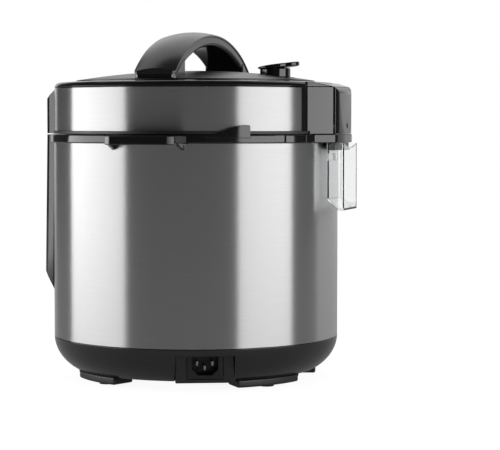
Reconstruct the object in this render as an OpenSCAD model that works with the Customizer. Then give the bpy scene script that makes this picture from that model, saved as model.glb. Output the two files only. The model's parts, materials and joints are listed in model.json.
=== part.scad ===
// Electric pressure multicooker: rear-hinged lid with a twist-lock top, drip cup and mains inlet.
// Millimetres, +Z up, control panel facing -Y, vessel axis on Z, feet standing on Z = 0.
// Azimuths are degrees from the front (-Y), turning towards the right-hand side (+X).

/* [Body] */
// Room between the inner pot and the outside of the brushed sleeve
body_room = 24.5; // [23:0.5:30]
// Sheet thickness of the brushed sleeve
sleeve_wall = 0.8; // [0.6:0.1:1.2]
// Height of the brushed sleeve
sleeve_h = 185; // [175:1:200]

/* [Base] */
// Height of the base underside above the table
base_z0 = 9; // [7:0.5:12]
// Height of the base bowl
base_h = 32; // [30:0.5:36]
// Horizontal half-axis of the bowl curve
bowl_a = 47; // [40:1:55]
// Vertical half-axis of the bowl curve
bowl_b = 38; // [37:0.5:44]
// Wall of the base bowl
base_wall = 3; // [2:0.25:4]
// How far the opening in the base floor lies inside the sleeve
floor_inset = 45; // [40:1:55]
// How far the rubber pads stand below the foot blocks
pad_proud = 2; // [1:0.5:4]
// Diameter of a rubber pad
pad_d = 14; // [10:1:18]
// How far the pads sit inside the sleeve
pad_inset = 33; // [31:1:37]
// How far the foot blocks lie inside the sleeve
foot_inset = 21; // [19:0.5:23]
// Radial width of the foot blocks
foot_w = 26; // [22:1:30]
// Angle that each foot block covers
foot_span = 40; // [30:1:50]
// Azimuth of the front feet
foot_front_az = 55; // [45:1:60]
// Azimuth of the rear feet
foot_rear_az = 148; // [144:1:152]

/* [Mains inlet] */
// Azimuth of the inlet housing
inlet_az = 112.5; // [106:0.5:114]
// Width of the inlet housing
inlet_w = 53; // [48:1:58]
// Height of the inlet housing
inlet_h = 25; // [24:0.5:27]
// How far the flat inlet face lies inside the sleeve
inlet_inset = 11; // [9:0.5:13]
// Depth of the inlet housing
inlet_depth = 20; // [18:0.5:24]
// Width of the socket flange
flange_w = 31; // [30:0.5:34]
// Height of the socket flange
flange_h = 20.4; // [20:0.2:22]
// Width of the socket opening, C14 pattern
socket_w = 24.4; // [24:0.1:25]
// Height of the socket opening, C14 pattern
socket_h = 16.8; // [16.5:0.1:17.2]
// Depth of the socket opening
socket_depth = 16; // [14:0.5:18]
// Distance between the live and neutral pins
pin_pitch = 14; // [13.8:0.1:14.2]

/* [Rim] */
// How far the rim stands outside the sleeve
rim_proud = 2.5; // [1.5:0.25:3.5]
// Height of the rim ring
rim_h = 8; // [7:0.5:10]
// Azimuth where the rim stops beside the hinge
rim_end_az = 155; // [152:0.5:156]
// Height of the guide humps above the rim
hump_h = 8.6; // [5:0.2:9]
// Azimuth of the steep side of a guide hump
hump_az = 129.5; // [125:0.5:132]

/* [Carry handles] */
// How far the handle grip stands out from the sleeve
grip_reach = 23; // [20:0.5:30]
// Half-width of the grip at its outer face
grip_half_w = 33; // [30:0.5:36]
// Half-width where the handle meets the rim
grip_root_half_w = 39; // [37:0.5:42]
// Wall of the carry handle
grip_wall = 3; // [2.5:0.25:4]
// Chamfer on the outer corners of the grip
grip_chamfer = 6.5; // [4:0.5:8]
// Depth of the gusset ribs below the handle
gusset_h = 6; // [4:0.5:8]

/* [Cooking chamber] */
// Outer radius of the inner pot
pot_r = 112.5; // [110:0.25:113]
// Wall of the inner pot
pot_wall = 1.6; // [1.2:0.1:2.2]
// Height of the inner pot
pot_h = 147.5; // [135:0.5:152]
// Corner radius at the bottom of the inner pot
pot_corner = 16; // [10:1:22]
// Radial gap between pot and heating chamber
pot_gap = 1.5; // [1:0.25:2]
// Wall of the heating chamber
liner_wall = 1.5; // [1:0.25:2]
// Thickness of the locking lugs
lug_t = 4; // [3:0.25:5]
// Radial reach of the lid lugs
lug_reach = 6.8; // [5:0.2:7]
// Angle covered by each lug of the locking ring
ring_lug_span = 26; // [22:1:28]
// Angle covered by each lug of the pressure lid
lid_lug_span = 22; // [18:1:24]
// Margin between the heating plate and the flat of the pot bottom
plate_margin = 0.5; // [0.5:0.5:8]
// Thickness of the heating plate
plate_t = 13; // [11:0.5:15]

/* [Control panel] */
// Half-width of the control panel
panel_half_w = 42; // [40:0.5:46]
// Height of the control panel
panel_h = 151; // [145:1:158]
// How far the panel face stands out from the sleeve at its top
panel_stand = 3; // [2:0.25:6]
// Lean of the panel face, outwards towards the bottom
panel_lean = 1; // [0:0.25:2]
// Height of the slanted lower end of the panel
panel_toe_h = 22; // [16:1:26]
// Half-width of the display glass
glass_half_w = 31; // [28:0.5:34]
// Height of the display glass
glass_h = 50; // [44:1:54]
// Thickness of the display glass
glass_t = 1.5; // [1:0.25:2]
// Length of a push button
button_l = 24; // [20:0.5:27]
// Height of a push button
button_h = 8; // [6:0.5:9]
// Vertical pitch of the button rows
button_pitch = 13; // [12:0.25:14]
// Distance between the two button columns
button_columns = 36; // [34:0.5:40]
// How far a button stands out of the panel
button_proud = 1; // [0.9:0.1:1.5]

/* [Lid] */
// Gap between the rim and the closed lid
lid_gap = 0.4; // [0.3:0.1:1]
// Height of the lip under the lid band
lip_h = 2.6; // [2:0.2:4]
// How far the lid band lies inside the sleeve radius
band_inset = 1; // [0.5:0.25:2]
// Height of the brushed lid band
band_h = 40; // [36:0.5:46]
// Sheet thickness of the lid band
band_wall = 0.8; // [0.6:0.1:1.2]
// Height of the shoulder ring above the band
shoulder_h = 7; // [6:0.5:9]
// How far the dome edge lies inside the sleeve
dome_inset = 22; // [20:0.5:25]
// Rise of the dome above its edge
dome_rise = 9.5; // [7:0.5:12]
// Wall of the dome
dome_wall = 3; // [2.5:0.25:3.5]
// Gap round the dome, inside the shoulder ring
dome_gap = 1.2; // [0.8:0.1:2]
// Azimuth where the lid band stops beside the hinge
band_end_az = 154.4; // [150:0.2:156]

/* [Top handle] */
// How far the handle feet reach past the dome edge
arch_overhang = 1; // [0:0.25:2]
// Half-width of the handle strip
arch_half_w = 20; // [17:0.5:23]
// Height of the arch edge above the dome edge at its ends
arch_end_h = 8.5; // [7:0.5:10]
// Height of the arch edge above the dome edge at its top
arch_h = 43.5; // [41:0.5:48]
// Crown of the handle strip across its width
arch_crown = 3; // [2:0.25:4]
// Thickness of the handle cover strip
cover_t = 1.75; // [1.5:0.25:2.5]
// Thickness of the handle core under the cover
core_t = 8.75; // [7:0.25:10]
// Length of each handle foot
foot_l = 28; // [24:1:34]

/* [Steam valve and float] */
// How far the steam valve lies inside the raised middle of the pressure lid
valve_inset = 11.5; // [11.5:0.5:17]
// Diameter of the valve stem
valve_d = 29; // [26:0.5:31]
// Height of the valve stem above its seat
valve_h = 9; // [7:0.5:11]
// Length of the valve lever
lever_l = 38; // [34:1:42]
// Outer radius of the exhaust pipe
pipe_r = 4; // [3.5:0.1:4.5]
// Radius of the float pin
float_r = 2.5; // [2:0.1:3]

/* [Hinge] */
// How far the rear lid face stands out from the sleeve
tail_reach = 13.5; // [12:0.5:16]
// Half-width of the lid tail
tail_half_w = 29; // [28:0.5:31]
// How far the rear lid face falls back at its sides
tail_crown = 4.3; // [3:0.1:5]
// Distance of the hinge axis in front of the rear lid face
axis_inset = 7; // [7:0.25:8]
// Height of the hinge axis above the rim
axis_rise = 7.5; // [7:0.25:9]
// Radius of the hinge pin
hinge_pin_r = 2.5; // [2:0.1:3]
// Running clearance of the hinge pin in the arms
pin_clear = 0.05; // [0.03:0.01:0.08]
// Wall round the pin bore in a hinge arm
knuckle_wall = 1.8; // [1.6:0.1:2]
// Width of a hinge arm
arm_w = 5; // [4:0.5:6]
// Inner face of each hinge arm from the middle
arm_x = 12; // [10:0.5:13]

/* [Drip cup] */
// Half-width of the drip cup
cup_half_w = 24.5; // [22:0.5:26]
// Depth of the drip cup from front to rear
cup_depth = 16.5; // [15:0.5:19]
// Height of the drip cup
cup_h = 62.5; // [50:0.5:75]
// Wall of the drip cup
cup_wall = 1.5; // [1.2:0.1:2]
// Height of the plug that the cup is pushed on to
plug_h = 7; // [6:0.5:10]

/* [Hidden] */
$fn = 96;
eps = 0.01;
far = 400;

// Clearances
slide_fit = 0.3;
seat_gap = 0.4;
lug_gap = 1;
bore_fit = 0.05;
glue_gap = 0.05;

// Heights
foot_z0 = pad_proud;
sleeve_z0 = base_z0 + base_h;
rim_z0 = sleeve_z0 + sleeve_h;
rim_z1 = rim_z0 + rim_h;
lip_z0 = rim_z1 + lid_gap;
band_z0 = lip_z0 + lip_h;
band_z1 = band_z0 + band_h;
band_groove = 0.8;
band_top = band_z1 + band_groove;
shoulder_z1 = band_z1 + shoulder_h;
shelf_t = 3;
shelf_drop = 4.4;
shelf_z1 = shoulder_z1 - shelf_drop;
shelf_z0 = shelf_z1 - shelf_t;
dome_step = 1;
dome_z0 = shoulder_z1 + dome_step;
dome_z1 = dome_z0 + dome_rise;
ring_drop = 0.7;
ring_z1 = rim_z1 - ring_drop;
lid_lug_z1 = ring_z1 - lug_t - lug_gap;
lid_lug_z0 = lid_lug_z1 - lug_t;
gasket_h = 4.4;
pot_flange_t = 2;
pot_z1 = lid_lug_z0 - gasket_h - seat_gap;
chamber_z1 = pot_z1 - pot_flange_t;
chamber_flange_t = 1.5;
ledge_z1 = chamber_z1 - chamber_flange_t;
ledge_t = 3;
pot_z0 = pot_z1 - pot_h;
plate_z0 = pot_z0 - plate_t;
plate_foot_h = 5;
plate_foot_r = 5;
plate_foot_inset = 8;
chamber_z0 = plate_z0 - plate_foot_h - liner_wall;

// Radii and distances that follow the pot and the sleeve
body_r = pot_r + body_room;
floor_r = body_r - floor_inset;
pad_ring_r = body_r - pad_inset;
foot_r = body_r - foot_inset;
inlet_face_r = body_r - inlet_inset;
inlet_back_r = inlet_face_r - inlet_depth;
grip_x = body_r + grip_reach;
panel_y = body_r + panel_stand;
tail_y = body_r + tail_reach;
plate_r = pot_r - pot_corner - plate_margin;
dome_r = body_r - dome_inset;
arch_x = dome_r + arch_overhang;
arch_rise = arch_h - arch_end_h;
arch_r = (arch_x * arch_x + arch_rise * arch_rise) / (2 * arch_rise);

// Radii, from the pot outwards
chamber_in = pot_r + pot_gap;
chamber_out = chamber_in + liner_wall;
press_r = pot_r + 1;
ring_lug_r = press_r + lug_gap;
lid_lug_r = press_r + lug_reach;
ring_bore_r = lid_lug_r + 1.2;
ring_out_r = ring_bore_r + 4.7;
rim_in_r = ring_out_r + slide_fit;
rim_leg = 2.5;
rim_r = body_r + rim_proud;
band_r = body_r - band_inset;
skirt_r = band_r - band_wall;
skirt_t = 3;
shoulder_in_r = dome_r + dome_gap;
shelf_in_r = dome_r - 11;
lugs = 6;
lug_pitch = 360 / lugs;

// Panel placing
panel_z1 = rim_z1 - 0.5;
panel_notch_r = body_r - 3;

// Hinge placing
axis_y = tail_y - axis_inset;
axis_z = rim_z1 + axis_rise;
knuckle_r = hinge_pin_r + pin_clear + knuckle_wall;
tail_wall = 1.6;
tail_side = 10;
tail_flat_w = 8;
base_rear_wall = 1.8;
base_rear_y = tail_y + 1;
tail_foot_y = tail_y + 0.6;
base_half_w = tail_half_w + seat_gap + base_rear_wall;
cheek_az = 158;
cheek_bulge = 0.8;

// Valve and float placing, on one circle of the pressure lid
press_rim_w = 14;
press_slope_w = 8;
press_flat_r = press_r - press_rim_w - press_slope_w;
valve_y = press_flat_r - valve_inset;
float_turn = 28.5;
float_x = -valve_y * sin(float_turn);
float_y = valve_y * cos(float_turn);
float_rise = 6;

// Profile helpers
function arc_points(c, r, a0, a1, n) =
  [for (i = [0:n]) c + r * [cos(a0 + (a1 - a0) * i / n), sin(a0 + (a1 - a0) * i / n)]];
function bowl_r(z, inset) =
  body_r - bowl_a + (bowl_a - inset) * sqrt(1 - pow((sleeve_z0 - z) / (bowl_b - inset), 2));
function dome_surface(r) =
  let (R = (dome_r * dome_r + dome_rise * dome_rise) / (2 * dome_rise))
  dome_z1 - R + sqrt(R * R - r * r);

module lathe(points) {
  rotate_extrude() polygon(points);
}

module band(r0, r1, z0, z1) {
  lathe([[r0, z0], [r1, z0], [r1, z1], [r0, z1]]);
}

// Part of a ring between two azimuths
module band_sector(r0, r1, z0, z1, az0, az1) {
  rotate([0, 0, az0 - 90]) rotate_extrude(angle = az1 - az0)
    polygon([[r0, z0], [r1, z0], [r1, z1], [r0, z1]]);
}

// Places a child, drawn at the front on the -Y side, at an azimuth
module at_azimuth(az) {
  rotate([0, 0, az]) children();
}

// Extrudes a YZ outline along X between two X values
module along_x(x0, x1) {
  translate([x0, 0, 0]) rotate([90, 0, 90]) linear_extrude(x1 - x0) children();
}

// Extrudes an XZ outline along Y between two Y values
module along_y(y0, y1) {
  translate([0, y1, 0]) rotate([90, 0, 0]) linear_extrude(y1 - y0) children();
}

module mirror_copy_x() {
  children();
  mirror([1, 0, 0]) children();
}

module stadium(l, h) {
  square([l - h, h], center = true);
  for (s = [-1, 1]) translate([s * (l - h) / 2, 0]) circle(d = h);
}

// Wire coil of round section, ends cut square, standing on z = 0
module coil(r, wire, h, turns) {
  steps = 12;
  sides = 6;
  n = turns * steps;
  points = [for (i = [0:n], j = [0:sides - 1])
    let (a = 360 * i / steps, z = wire + (h - 2 * wire) * i / n, b = 360 * j / sides)
    [(r + wire * cos(b)) * cos(a), (r + wire * cos(b)) * sin(a), z + wire * sin(b)]];
  walls = [for (i = [0:n - 1], j = [0:sides - 1], t = [0, 1])
    let (k = (j + 1) % sides, p = i * sides, q = p + sides)
    t == 0 ? [p + j, q + j, q + k] : [p + j, q + k, p + k]];
  ends = concat([for (j = [1:sides - 2]) [0, j, j + 1]],
    [for (j = [1:sides - 2]) [n * sides, n * sides + j + 1, n * sides + j]]);
  polyhedron(points, concat(walls, ends));
}

// Base bowl, solid of its outer form
module bowl_solid() {
  steps = 20;
  lathe(concat([[0, base_z0]],
    [for (i = [0:steps]) let (z = base_z0 + base_h * i / steps) [bowl_r(z, 0), z]],
    [[0, sleeve_z0]]));
}

// Places a child at each screw that holds the bottom plate
screw_ring_r = floor_r + 3;
base_screw_count = 8;
module at_base_screws() {
  pitch = 360 / base_screw_count;
  for (k = [0:base_screw_count - 1]) at_azimuth(pitch * (k + 0.5))
    translate([0, -screw_ring_r, 0]) children();
}

module base_shell() {
  steps = 20;
  color("#26272a") difference() {
    lathe(concat([[floor_r, base_z0]],
      [for (i = [0:steps]) let (z = base_z0 + base_h * i / steps) [bowl_r(z, 0), z]],
      [for (i = [steps:-1:0])
        let (z = base_z0 + base_wall + (base_h - base_wall) * i / steps) [bowl_r(z, base_wall), z]],
      [[floor_r, base_z0 + base_wall]]));
    at_azimuth(inlet_az)
      translate([-inlet_w / 2 - slide_fit, -far, base_z0 - 1])
        cube([inlet_w + 2 * slide_fit, far - inlet_back_r + slide_fit, inlet_h + 1 + slide_fit]);
    at_base_screws() cylinder(r = screw_hole_r, h = far);
  }
}

screw_r = 1.5;
screw_hole_r = screw_r + slide_fit;
plate_flange = 7;
bottom_t = 2;
module bottom_plate() {
  in_r = floor_r - seat_gap;
  z0 = base_z0;
  z1 = base_z0 + base_wall;
  vents = 10;
  color("#3a3b3e") difference() {
    union() {
      lathe([[0, z0], [in_r, z0], [in_r, z1], [floor_r + plate_flange, z1],
        [floor_r + plate_flange, z1 + bottom_t], [in_r - bottom_t, z1 + bottom_t],
        [in_r - bottom_t, z0 + bottom_t], [0, z0 + bottom_t]]);
      for (s = [-1, 1], t = [-1, 1]) at_azimuth(inlet_az)
        translate([s * board_post_x, board_y + t * board_post_y, z0 + bottom_t / 2])
          cylinder(r = 3.5, h = board_z0 - z0 - bottom_t / 2);
    }
    for (k = [0:vents - 1]) at_azimuth(360 * k / vents + 18)
      translate([-2, -vent_r1, z0 - 1]) cube([4, vent_r1 - vent_r0, bottom_t + 2]);
    at_base_screws() cylinder(r = screw_hole_r, h = far);
  }
}
vent_r0 = floor_r - 30;
vent_r1 = floor_r - 8;

foot_azimuths = [foot_front_az, foot_rear_az, -foot_rear_az, -foot_front_az];
module foot_blocks() {
  color("#1d1e20") difference() {
    for (az = foot_azimuths)
      band_sector(foot_r - foot_w, foot_r, foot_z0, base_z0 + 4, az - foot_span / 2, az + foot_span / 2);
    bowl_solid();
    for (az = foot_azimuths) at_azimuth(az)
      translate([0, -pad_ring_r, -1]) cylinder(d = pad_d, h = 1 + foot_z0 + pad_seat);
  }
}

pad_seat = 2;
module foot_pads() {
  color("#101010") for (az = foot_azimuths)
    at_azimuth(az) translate([0, -pad_ring_r, 0]) cylinder(d = pad_d - slide_fit, h = foot_z0 + pad_seat);
}

module base_screws() {
  head_h = 1.6;
  color("#8f9296") at_base_screws() {
    translate([0, 0, base_z0]) cylinder(r = screw_r, h = base_wall + bottom_t + eps);
    translate([0, 0, base_z0 + base_wall + bottom_t]) cylinder(r = 2 * screw_r, h = head_h);
  }
}

window_half_w = panel_half_w - 5;
module outer_sleeve() {
  color("#b9bbbd") difference() {
    band(body_r - sleeve_wall, body_r, sleeve_z0, rim_z0);
    translate([-window_half_w, -far, panel_z1 - board_drop1])
      cube([2 * window_half_w, far, board_drop1 - board_drop0]);
  }
}

// Rim: cap over the sleeve edge with a leg and ledge that carry the heating chamber
module rim_ring() {
  cap_t = 3;
  round_r = 1.5;
  ledge_in = chamber_out + 1.5;
  leg_out = rim_in_r + rim_leg;
  skirt_in = body_r - sleeve_wall - 1;
  mark_az0 = 139.8;
  mark_az1 = 144.9;
  mark_depth = 1.4;
  mark_edge = 0.8;
  color("#17181a") {
    difference() {
      rotate([0, 0, -rim_end_az - 90]) rotate_extrude(angle = 2 * rim_end_az)
        polygon(concat([[ledge_in, ledge_z1 - ledge_t], [leg_out, ledge_z1 - ledge_t],
          [leg_out, rim_z1 - cap_t], [skirt_in, rim_z1 - cap_t], [skirt_in, rim_z0]],
          arc_points([rim_r - 1, rim_z0 + 1], 1, -90, 0, 4),
          arc_points([rim_r - round_r, rim_z1 - round_r], round_r, 0, 90, 6),
          [[rim_in_r, rim_z1], [rim_in_r, ledge_z1], [ledge_in, ledge_z1]]));
      difference() {
        translate([-panel_half_w - slide_fit, -far, rim_z0 - 1])
          cube([2 * (panel_half_w + slide_fit), far, rim_h + 2]);
        translate([0, 0, rim_z0 - 2]) cylinder(r = panel_notch_r, h = rim_h + 4);
      }
      mirror_copy_x() band_sector(rim_r - mark_depth, rim_r + 1, rim_z0 + mark_edge, rim_z1 - mark_edge,
        mark_az0, mark_az1);
    }
    mirror_copy_x() guide_hump();
  }
}

// Wave-shaped guide beside the lid: a long ramp, a short crest and a steep rear side
module guide_hump() {
  span = 17;
  crest = 5;
  crest_r = 2;
  root_h = 3;
  hump_in = body_r + 0.7;
  hump_out = rim_r + 0.25;
  l = rim_r * sin(span);
  steps = 10;
  ramp = [for (i = [0:steps]) let (t = i / steps)
    [-l + (l - crest) * t, rim_z1 - 1 + (hump_h + 1) * (3 - 2 * t) * t * t]];
  intersection() {
    at_azimuth(hump_az) along_y(-far, -body_r / 2)
      polygon(concat([[-l, rim_z1 - root_h]], ramp,
        arc_points([-crest_r, rim_z1 + hump_h - crest_r], crest_r, 90, 0, 6), [[0, rim_z1 - root_h]]));
    band(hump_in, hump_out, rim_z1 - root_h - 1, rim_z1 + hump_h + 1);
  }
}

// Carry handle on the right side, mirrored for the left
module carry_handle_form() {
  root_x = body_r - 12;
  outline = [[root_x, -grip_root_half_w - 1], [grip_x - 10, -grip_half_w],
    [grip_x - grip_chamfer + 2, -grip_half_w], [grip_x, -grip_half_w + grip_chamfer],
    [grip_x, grip_half_w - grip_chamfer], [grip_x - grip_chamfer + 2, grip_half_w],
    [grip_x - 10, grip_half_w], [root_x, grip_root_half_w + 1]];
  hollow_y = grip_half_w - grip_wall;
  difference() {
    union() {
      difference() {
        translate([0, 0, rim_z0 - 1]) linear_extrude(rim_h) polygon(outline);
        translate([rim_r + 2, -hollow_y, rim_z0 - 2])
          cube([grip_x - grip_wall - rim_r - 2, 2 * hollow_y, rim_h + 1 - grip_wall]);
      }
      for (s = [-1, 1])
        along_y_rib(s * (grip_half_w + grip_wall / 2 - 1.5));
    }
    translate([0, 0, rim_z0]) cylinder(r = rim_r, h = far);
    translate([0, 0, -1]) cylinder(r = body_r, h = far);
    translate([0, 0, -1]) cylinder(r = rim_r, h = rim_z0 - gusset_h - 8);
  }
}

// Triangular gusset under one end of a carry handle
module along_y_rib(y) {
  top = rim_z0 + 1;
  along_y(y - grip_wall / 2, y + grip_wall / 2)
    polygon([[body_r - 15, top], [grip_x - 12, top], [grip_x - 12, rim_z0 - 1],
      [body_r - 4, rim_z0 - gusset_h], [body_r - 15, rim_z0 - gusset_h]]);
}

module carry_handle_right() {
  color("#17181a") carry_handle_form();
}

module carry_handle_left() {
  color("#17181a") mirror([1, 0, 0]) carry_handle_form();
}

// Rear edge of the tail in plan: flat in the middle, falling back towards the sides
function rear_edge(half_w, rear_y) =
  let (n = 8, w = half_w - tail_flat_w)
  [for (i = [0:n]) let (t = 1 - i / n) [tail_flat_w + w * t, rear_y - tail_crown * t * t]];

// Plan of the tail: rear block with cheeks that flare into the round body
module tail_plan(half_w, rear_y, root_az, root_r, bulge) {
  root = root_r * [sin(root_az), -cos(root_az)];
  rear = rear_edge(half_w, rear_y);
  n = 8;
  dir = rear[0] - root;
  out = [-dir[1], dir[0]] / norm(dir) * -1;
  cheek = [for (i = [0:n - 1]) let (t = i / n) root + dir * t + out * bulge * 4 * t * (1 - t)];
  right = concat([root / 2], cheek, rear);
  left = [for (i = [len(right) - 1:-1:0]) [-right[i][0], right[i][1]]];
  polygon(concat(right, left));
}

// Plan of a block with the crowned rear edge and straight sides, from y0 backwards
module crowned_block(half_w, rear_y, y0) {
  right = concat([[half_w, y0]], rear_edge(half_w, rear_y));
  left = [for (i = [len(right) - 1:-1:0]) [-right[i][0], right[i][1]]];
  polygon(concat(right, left));
}

// Lower hinge cover with the two gooseneck arms that carry the hinge pin
module hinge_base() {
  base_root_az = 161.5;
  base_bulge = 0.3;
  ring_az = rim_end_az + 0.8;
  ring_r = rim_r - 1;
  floor_t = 3;
  pocket_y0 = body_r - 1;
  color("#141517") difference() {
    union() {
      difference() {
        union() {
          translate([0, 0, rim_z0]) linear_extrude(rim_h)
            tail_plan(base_half_w, base_rear_y, base_root_az, ring_r, base_bulge);
          band_sector(rim_in_r, ring_r, rim_z0, rim_z1, ring_az, 360 - ring_az);
        }
        translate([0, 0, rim_z0 - 1]) cylinder(r = rim_in_r + rim_leg + seat_gap, h = far);
        hinge_pocket(pocket_y0, floor_t);
      }
      mirror_copy_x() hinge_arm(floor_t);
    }
    along_x(-far, far) translate([axis_y, axis_z]) circle(r = hinge_pin_r + pin_clear);
    translate([0, axis_y - 1, rim_z0 - 1]) cylinder(r = drain_r, h = far);
  }
}

drain_r = 2.5;

// Room in the lower cover for the lid tail as it swings down, with a stepped rear edge
module hinge_pocket(y0, floor_t) {
  step_h = 1.6;
  step_wall = 0.7;
  half_w = tail_half_w + seat_gap;
  translate([0, 0, rim_z0 + floor_t]) linear_extrude(rim_h)
    crowned_block(half_w, base_rear_y - base_rear_wall, y0);
  translate([0, 0, rim_z1 - step_h]) linear_extrude(rim_h)
    crowned_block(half_w, base_rear_y - step_wall, y0);
}

// Arm from the hinge base floor, forward of the axis, then back to the pin
module hinge_arm(floor_t) {
  leg_y0 = arm_leg_y0;
  leg_y1 = leg_y0 + 5;
  bar_z0 = axis_z - 2.5;
  bar_z1 = axis_z + 2.5;
  along_x(arm_x, arm_x + arm_w) {
    polygon([[leg_y0, rim_z0 + 1], [leg_y1, rim_z0 + 1], [leg_y1, bar_z0], [axis_y, bar_z0],
      [axis_y, bar_z1], [leg_y0 + 2, bar_z1], [leg_y0, bar_z1 - 2]]);
    translate([axis_y, axis_z]) circle(r = knuckle_r);
  }
}
arm_leg_y0 = rim_in_r + rim_leg + seat_gap + 0.6;

// Plug under the hinge base: the drip cup is pushed up on to it
cup_y0 = body_r + 0.6;
plug_half_w = cup_half_w - cup_wall - slide_fit;
plug_y0 = cup_y0 + cup_wall + slide_fit;
plug_y1 = tail_y - 3.5;
module cup_plug() {
  color("#141517") difference() {
    translate([0, 0, rim_z0 - plug_h]) linear_extrude(plug_h)
      polygon([[-plug_half_w, plug_y0], [plug_half_w, plug_y0], [plug_half_w, plug_y1 - 2],
        [plug_half_w - 2, plug_y1], [-plug_half_w + 2, plug_y1], [-plug_half_w, plug_y1 - 2]]);
    translate([0, axis_y - 1, 0]) cylinder(r = drain_r, h = far);
  }
}

// Clear drip cup, open at the top, with a slanted lower front edge and a dipped rear rim
cup_z1 = rim_z0 - 0.5;
cup_z0 = cup_z1 - cup_h;
cup_y1 = cup_y0 + cup_depth;
cup_slant = 10;
module cup_outline(inset) {
  top = cup_z1 + (inset > 0 ? 1 : 0);
  slant = cup_slant + inset * tan(22.5);
  polygon([[cup_y0 + inset, top], [cup_y0 + inset, cup_z0 + slant], [cup_y0 + slant, cup_z0 + inset],
    [cup_y1 - inset, cup_z0 + inset], [cup_y1 - inset, top]]);
}

module drip_cup() {
  dip_r = 60;
  color("#dfe6ea") difference() {
    along_x(-cup_half_w, cup_half_w) cup_outline(0);
    along_x(-cup_half_w + cup_wall, cup_half_w - cup_wall) cup_outline(cup_wall);
    along_y(cup_y1 - cup_wall - 1, cup_y1 + 1) translate([0, cup_z1 + dip_r - 4]) circle(r = dip_r);
    along_y(cup_y0 - 1, cup_y0 + cup_wall + 1) translate([0, cup_z1 - 13]) square([16, 6], center = true);
  }
}

// Flat inlet housing set into the bowl
inlet_z1 = base_z0 + inlet_h;
socket_z = base_z0 + 15.7;
housing_t = 2.5;
socket_body_w = socket_w + 3;
socket_body_h = socket_h + 2.6;
module inlet_housing() {
  recess = 0.8;
  color("#1b1c1e") at_azimuth(inlet_az) difference() {
    translate([-inlet_w / 2, -inlet_face_r, base_z0]) cube([inlet_w, inlet_face_r - inlet_back_r, inlet_h]);
    translate([-inlet_w / 2 + housing_t, -inlet_face_r + housing_t, base_z0 + housing_t])
      cube([inlet_w - 2 * housing_t, far, inlet_h - 2 * housing_t]);
    translate([-socket_body_w / 2 - slide_fit, -far, socket_z - socket_body_h / 2 - slide_fit])
      cube([socket_body_w + 2 * slide_fit, far, socket_body_h + 2 * slide_fit]);
    translate([-flange_w / 2 - 1.5, -inlet_face_r - 1, socket_z - flange_h / 2 - 2])
      cube([flange_w + 3, 1 + recess, flange_h + 4]);
  }
}

// C14 socket: opening with two chamfered lower corners
module inlet_socket() {
  face = inlet_face_r - 0.8;
  flange_t = 1.6;
  cut = 5.5;
  color("#2c2d30") at_azimuth(inlet_az) difference() {
    union() {
      translate([-flange_w / 2, -face - flange_t, socket_z - flange_h / 2])
        cube([flange_w, flange_t, flange_h]);
      translate([-socket_body_w / 2, -face - flange_t / 2, socket_z - socket_body_h / 2])
        cube([socket_body_w, socket_depth + 2, socket_body_h]);
    }
    along_y(-far, -face - flange_t + socket_depth) translate([0, socket_z])
      polygon([[-socket_w / 2, socket_h / 2], [socket_w / 2, socket_h / 2],
        [socket_w / 2, -socket_h / 2 + cut], [socket_w / 2 - cut, -socket_h / 2],
        [-socket_w / 2 + cut, -socket_h / 2], [-socket_w / 2, -socket_h / 2 + cut]]);
  }
}

// Live, neutral and lower earth pin, standing on the socket floor
module inlet_pins() {
  root = inlet_face_r + 0.8 - socket_depth;
  l = socket_depth - 2.5;
  color("#c9c6bd") at_azimuth(inlet_az)
    for (p = [[-pin_pitch / 2, 2], [pin_pitch / 2, 2], [0, -2]])
      translate([p[0] - 1, -root - l, socket_z + p[1] - 2]) cube([2, l, 4]);
}

// Panel frame: places children in the panel face's own frame, y inwards, z down the face
module on_panel() {
  translate([0, -panel_y, panel_z1]) rotate([-panel_lean, 0, 0]) children();
}

module panel_plan() {
  side_y = 10;
  draft = 2.2;
  edge_y = 1.6;
  edge_x = 1.8;
  front_w = panel_half_w - draft;
  polygon([[-panel_half_w, 30], [-panel_half_w, side_y], [-front_w, edge_y], [-front_w + edge_x, 0],
    [front_w - edge_x, 0], [front_w, edge_y], [panel_half_w, side_y], [panel_half_w, 30]]);
}

glass_drop = 17;
module_half_w = 23;
module_inset = 8;
board_drop0 = 22;
board_drop1 = 132;
board_y_in = 11;
board_t = 1.6;
first_row = glass_drop + glass_h + 15;
post_r = 2.5;
post_x = window_half_w - 4;
button_list = [for (row = [0:3], side = [-1, 1])
  [side * button_columns / 2, -first_row - row * button_pitch]];

module panel_frame() {
  color("#121315") difference() {
    union() {
      difference() {
        on_panel() translate([0, 0, -panel_h - 3]) linear_extrude(panel_h + 3) panel_plan();
        panel_toe();
        translate([0, 0, -1]) cylinder(r = body_r, h = rim_z0 + 1 + eps);
        translate([0, 0, rim_z0]) cylinder(r = panel_notch_r + slide_fit, h = far);
      }
      on_panel() for (s = [-1, 1], d = [board_drop0 + 5, board_drop1 - 5])
        translate([s * post_x, 2, -d]) rotate([-90, 0, 0]) cylinder(r = post_r, h = board_y_in - 2);
    }
    on_panel() {
      translate([-glass_half_w - slide_fit, -1, -glass_drop - glass_h - slide_fit])
        cube([2 * (glass_half_w + slide_fit), 1 + glass_t, glass_h + 2 * slide_fit]);
      translate([-module_half_w - slide_fit, -1, -glass_drop - glass_h + module_inset])
        cube([2 * (module_half_w + slide_fit), 20, glass_h - 2 * module_inset]);
      for (b = button_list) translate([b[0], 20, b[1]]) rotate([90, 0, 0])
        linear_extrude(40) stadium(button_l + 2 * slide_fit, button_h + 2 * slide_fit);
    }
  }
}

// Cone below the panel that slants its lower end back to the sleeve
module panel_toe() {
  z0 = panel_z1 - panel_h;
  out_r = panel_y + 9;
  lathe([[body_r - 1, z0 - 20], [out_r + 40, z0 - 20], [out_r + 40, z0 + panel_toe_h],
    [out_r, z0 + panel_toe_h], [body_r, z0], [body_r - 1, z0]]);
}

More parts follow.
